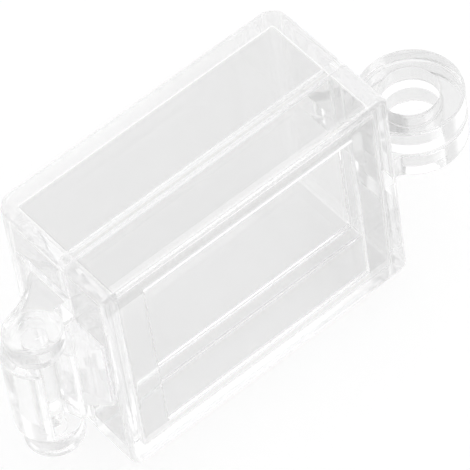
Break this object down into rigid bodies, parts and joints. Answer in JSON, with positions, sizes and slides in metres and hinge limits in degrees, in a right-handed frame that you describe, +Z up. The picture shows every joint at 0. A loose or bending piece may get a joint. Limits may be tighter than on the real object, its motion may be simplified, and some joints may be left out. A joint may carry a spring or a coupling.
{
  "type": "switch guard cover",
  "caption": "Clear hinged guard box with a window in its shallow half, a snap hinge at one end and padlock eyes at the other.",
  "frame": {"origin": "middle of the underside of the overall outline, with the box closed", "axes": "+X from the hinge towards the padlock eyes, +Y from the window towards the closed back, +Z up along the hinge line"},
  "size_m": [0.0918, 0.028, 0.0446],
  "materials": {
    "clear_plastic": "gloss"
  },
  "bodies": {
    "base": {"base_frame": "clear_plastic"},
    "cover": {"cover_shell": "clear_plastic"}
  },
  "joints": [
    {"name": "cover_hinge", "type": "hinge", "parent": "base", "child": "cover", "pos_m": [-0.03995, -0.0048, 0.0223], "axis": [0, 0, 1], "range_deg": [0, 180]}
  ]
}
